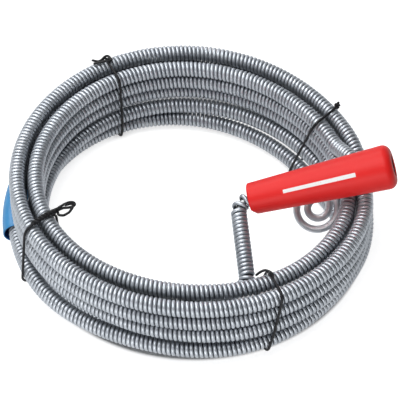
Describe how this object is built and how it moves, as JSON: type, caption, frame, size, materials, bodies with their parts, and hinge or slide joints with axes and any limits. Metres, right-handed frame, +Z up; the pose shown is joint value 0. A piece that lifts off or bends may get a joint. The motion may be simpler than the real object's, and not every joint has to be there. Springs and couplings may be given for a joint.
{
  "type": "drain auger",
  "caption": "Close-wound steel spring cable coiled in a ring with a pigtail hook, a cranked end with a loose tapered plastic grip, a plastic guide sleeve and wire ties.",
  "frame": {"origin": "on the plane the coil rests on, at the axis of the coiled ring", "axes": "+Z up along the ring's axis, -Y towards the side the crank's cable leaves from, +X towards the rear end of the grip"},
  "size_m": [0.2158, 0.2051, 0.0824],
  "materials": {
    "spring_steel": "bright zinc, close-wound wire",
    "rod_steel": "plain",
    "grip_plastic": "satin red moulding",
    "nut_steel": "zinc",
    "hook_steel": "smooth drawn wire, galvanised",
    "sleeve_plastic": "smooth blue tube",
    "tie_plastic": "soft black coating",
    "tie_steel": "annealed wire"
  },
  "bodies": {
    "coil": {"spring_cable": "spring_steel", "tie_coat_left": "tie_plastic", "tie_coat_back_left": "tie_plastic", "tie_coat_back_right": "tie_plastic", "tie_coat_front": "tie_plastic", "tie_core_left": "tie_steel", "tie_core_back_left": "tie_steel", "tie_core_back_right": "tie_steel", "tie_core_front": "tie_steel"},
    "crank": {"crank_spring": "spring_steel", "crank_core_rod": "rod_steel", "grip_push_nut": "nut_steel"},
    "grip": {"grip": "grip_plastic"},
    "sleeve": {"guide_sleeve": "sleeve_plastic"},
    "hook": {"hook_tail_spring": "spring_steel", "auger_hook": "hook_steel"}
  },
  "joints": [
    {"name": "crank_turn", "type": "hinge", "parent": "coil", "child": "crank", "pos_m": [0.0283, -0.0725, 0.0348], "axis": [0.9317, 0.3633, 0], "range_deg": [0, 60]},
    {"name": "grip_spin", "type": "hinge", "parent": "crank", "child": "grip", "pos_m": [0.0298, -0.0224, 0.049], "axis": [0.9564, 0.0389, 0.2895], "continuous": true},
    {"name": "sleeve_slide", "type": "hinge", "parent": "coil", "child": "sleeve", "pos_m": [-0.0019, 0, 0.0142], "axis": [0, 0, 1], "range_deg": [-20, 12]},
    {"name": "hook_flex", "type": "hinge", "parent": "coil", "child": "hook", "pos_m": [0.07549, 0.02807, 0.0255], "axis": [0, 0, -1], "range_deg": [0, 9], "stiffness_Nm_per_rad": 0.4}
  ]
}
